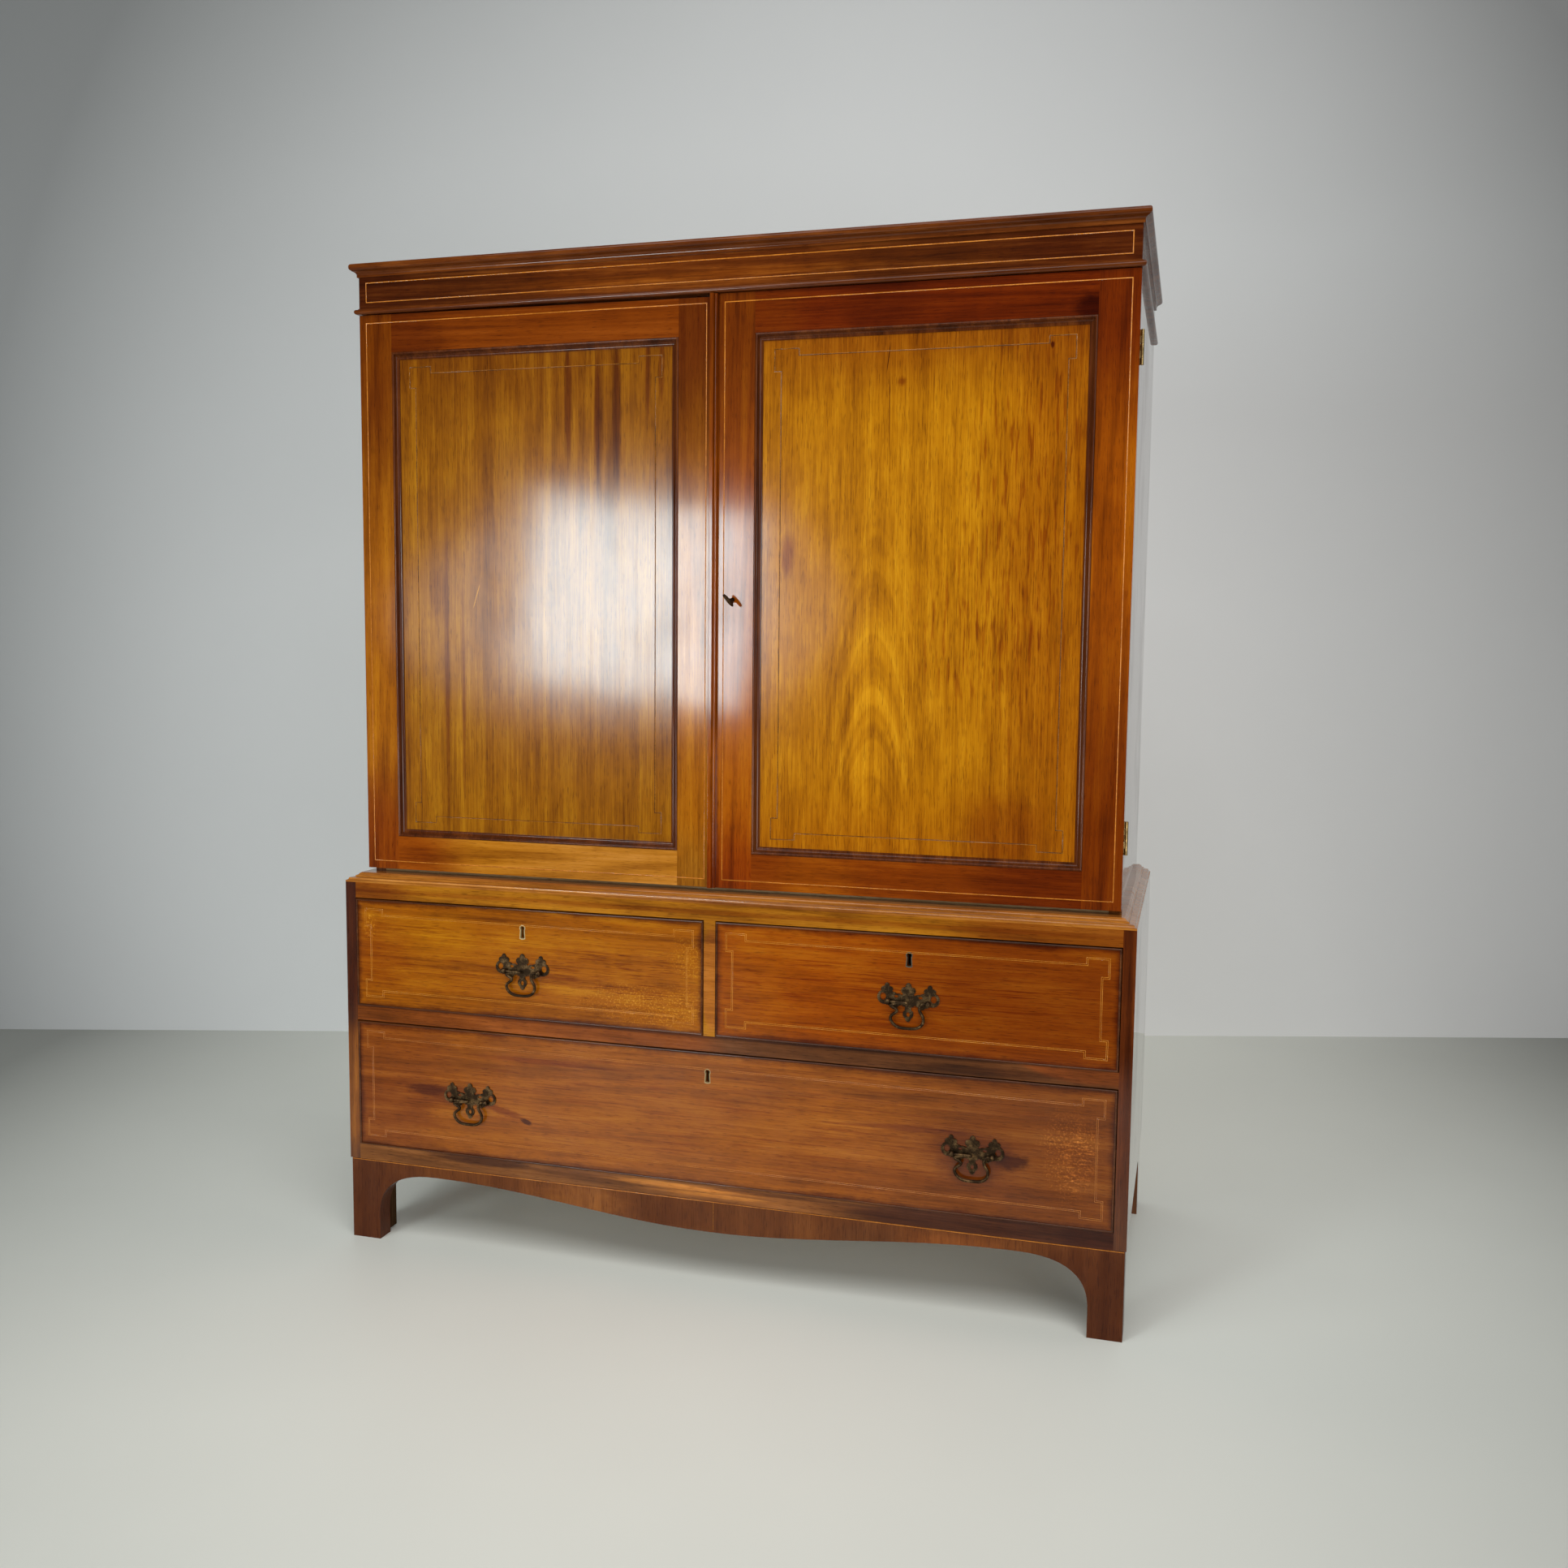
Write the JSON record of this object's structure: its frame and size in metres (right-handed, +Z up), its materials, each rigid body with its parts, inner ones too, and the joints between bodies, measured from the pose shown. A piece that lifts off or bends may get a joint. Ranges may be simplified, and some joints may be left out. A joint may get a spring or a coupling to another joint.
{
  "type": "linen press",
  "caption": "Linen press with panelled doors over sliding trays, on a base of drawers with bail handles, a serpentine apron and bracket feet",
  "frame": {"origin": "centre of the bounding box on the floor", "axes": "+Z up, the front with its doors and drawers faces -Y, +X to the right as one faces it"},
  "size_m": [1.3, 0.5818, 1.637],
  "materials": {
    "polished_mahogany": "French polished, glossy, aged",
    "figured_mahogany": "French polished, faded golden figure",
    "dark_mahogany": "French polished, darkened",
    "secondary_wood": "unpolished pine and oak",
    "aged_brass": "aged dark brass",
    "bright_brass": "worn brass",
    "lock_iron": "dark forged iron"
  },
  "bodies": {
    "case": {"base_side_left": "polished_mahogany", "base_side_right": "polished_mahogany", "base_back": "secondary_wood", "base_top_board": "secondary_wood", "waist_moulding": "polished_mahogany", "base_top_rail": "polished_mahogany", "drawer_rail": "polished_mahogany", "drawer_divider": "polished_mahogany", "base_bottom_rail": "polished_mahogany", "dust_boards": "secondary_wood", "drawer_runners": "secondary_wood", "apron_front": "polished_mahogany", "apron_sides": "polished_mahogany", "foot_blocks": "secondary_wood", "upper_side_left": "polished_mahogany", "upper_side_right": "polished_mahogany", "upper_top": "secondary_wood", "upper_bottom": "secondary_wood", "upper_back": "secondary_wood", "tray_bearers": "secondary_wood", "frieze_board": "polished_mahogany", "crown_moulding": "dark_mahogany", "frieze_bead": "polished_mahogany", "hinge_case_leaves": "bright_brass"},
    "door_left": {"door_left_stiles": "polished_mahogany", "door_left_rails": "polished_mahogany", "door_left_panel": "figured_mahogany", "door_left_moulding": "dark_mahogany", "door_left_brasses": "bright_brass"},
    "flush_bolt_top": {"flush_bolt_top": "bright_brass"},
    "flush_bolt_bottom": {"flush_bolt_bottom": "bright_brass"},
    "door_right": {"door_right_stiles": "polished_mahogany", "door_right_rails": "polished_mahogany", "door_right_panel": "figured_mahogany", "door_right_moulding": "dark_mahogany", "door_right_hinge_leaves": "bright_brass", "meeting_bead": "polished_mahogany", "lock_case": "lock_iron"},
    "lock_bolt": {"lock_bolt": "lock_iron"},
    "door_key": {"door_key": "lock_iron"},
    "drawer_left": {"drawer_left_front": "figured_mahogany", "drawer_left_box": "secondary_wood", "drawer_left_cockbead": "polished_mahogany", "drawer_left_fittings": "aged_brass"},
    "drawer_right": {"drawer_right_front": "figured_mahogany", "drawer_right_box": "secondary_wood", "drawer_right_cockbead": "polished_mahogany", "drawer_right_fittings": "aged_brass"},
    "drawer_long": {"drawer_long_front": "polished_mahogany", "drawer_long_box": "secondary_wood", "drawer_long_cockbead": "polished_mahogany", "drawer_long_fittings": "aged_brass"},
    "drawer_left_bail": {"drawer_left_bail": "aged_brass"},
    "drawer_right_bail": {"drawer_right_bail": "aged_brass"},
    "drawer_long_bail_left": {"drawer_long_bail_left": "aged_brass"},
    "drawer_long_bail_right": {"drawer_long_bail_right": "aged_brass"},
    "tray_1": {"tray_1": "secondary_wood"},
    "tray_2": {"tray_2": "secondary_wood"},
    "tray_3": {"tray_3": "secondary_wood"},
    "tray_4": {"tray_4": "secondary_wood"}
  },
  "joints": [
    {"name": "door_left_hinge", "type": "hinge", "parent": "case", "child": "door_left", "pos_m": [-0.62785, -0.22435, 1.09775], "axis": [0, 0, -1], "range_deg": [0, 175]},
    {"name": "door_right_hinge", "type": "hinge", "parent": "case", "child": "door_right", "pos_m": [0.62785, -0.22435, 1.09775], "axis": [0, 0, 1], "range_deg": [0, 175]},
    {"name": "flush_bolt_top_slide", "type": "slide", "parent": "door_left", "child": "flush_bolt_top", "axis": [0, 0, 1], "range_m": [0, 0.013]},
    {"name": "flush_bolt_bottom_slide", "type": "slide", "parent": "door_left", "child": "flush_bolt_bottom", "axis": [0, 0, -1], "range_m": [0, 0.013]},
    {"name": "key_turn", "type": "hinge", "parent": "door_right", "child": "door_key", "pos_m": [0.0235, -0.2466, 1.09125], "axis": [0, 1, 0], "range_deg": [0, 120]},
    {"name": "lock_bolt_slide", "type": "slide", "parent": "door_right", "child": "lock_bolt", "axis": [-1, 0, 0], "range_m": [0, 0.009]},
    {"name": "drawer_left_slide", "type": "slide", "parent": "case", "child": "drawer_left", "axis": [0, -1, 0], "range_m": [0, 0.35]},
    {"name": "drawer_right_slide", "type": "slide", "parent": "case", "child": "drawer_right", "axis": [0, -1, 0], "range_m": [0, 0.35]},
    {"name": "drawer_long_slide", "type": "slide", "parent": "case", "child": "drawer_long", "axis": [0, -1, 0], "range_m": [0, 0.35]},
    {"name": "drawer_left_bail_swing", "type": "hinge", "parent": "drawer_left", "child": "drawer_left_bail", "pos_m": [-0.32255, -0.2861, 0.4885], "axis": [-1, 0, 0], "range_deg": [0, 85]},
    {"name": "drawer_right_bail_swing", "type": "hinge", "parent": "drawer_right", "child": "drawer_right_bail", "pos_m": [0.31795, -0.2861, 0.4885], "axis": [-1, 0, 0], "range_deg": [0, 85]},
    {"name": "drawer_long_bail_left_swing", "type": "hinge", "parent": "drawer_long", "child": "drawer_long_bail_left", "pos_m": [-0.42025, -0.2861, 0.2625], "axis": [-1, 0, 0], "range_deg": [0, 85]},
    {"name": "drawer_long_bail_right_swing", "type": "hinge", "parent": "drawer_long", "child": "drawer_long_bail_right", "pos_m": [0.42025, -0.2861, 0.2625], "axis": [-1, 0, 0], "range_deg": [0, 85]},
    {"name": "tray_1_slide", "type": "slide", "parent": "case", "child": "tray_1", "axis": [0, -1, 0], "range_m": [0, 0.015]},
    {"name": "tray_2_slide", "type": "slide", "parent": "case", "child": "tray_2", "axis": [0, -1, 0], "range_m": [0, 0.015]},
    {"name": "tray_3_slide", "type": "slide", "parent": "case", "child": "tray_3", "axis": [0, -1, 0], "range_m": [0, 0.015]},
    {"name": "tray_4_slide", "type": "slide", "parent": "case", "child": "tray_4", "axis": [0, -1, 0], "range_m": [0, 0.015]}
  ],
  "couplings": [
    {"joint": "key_turn", "follows": "lock_bolt_slide", "rad_per_m": 232.7}
  ]
}
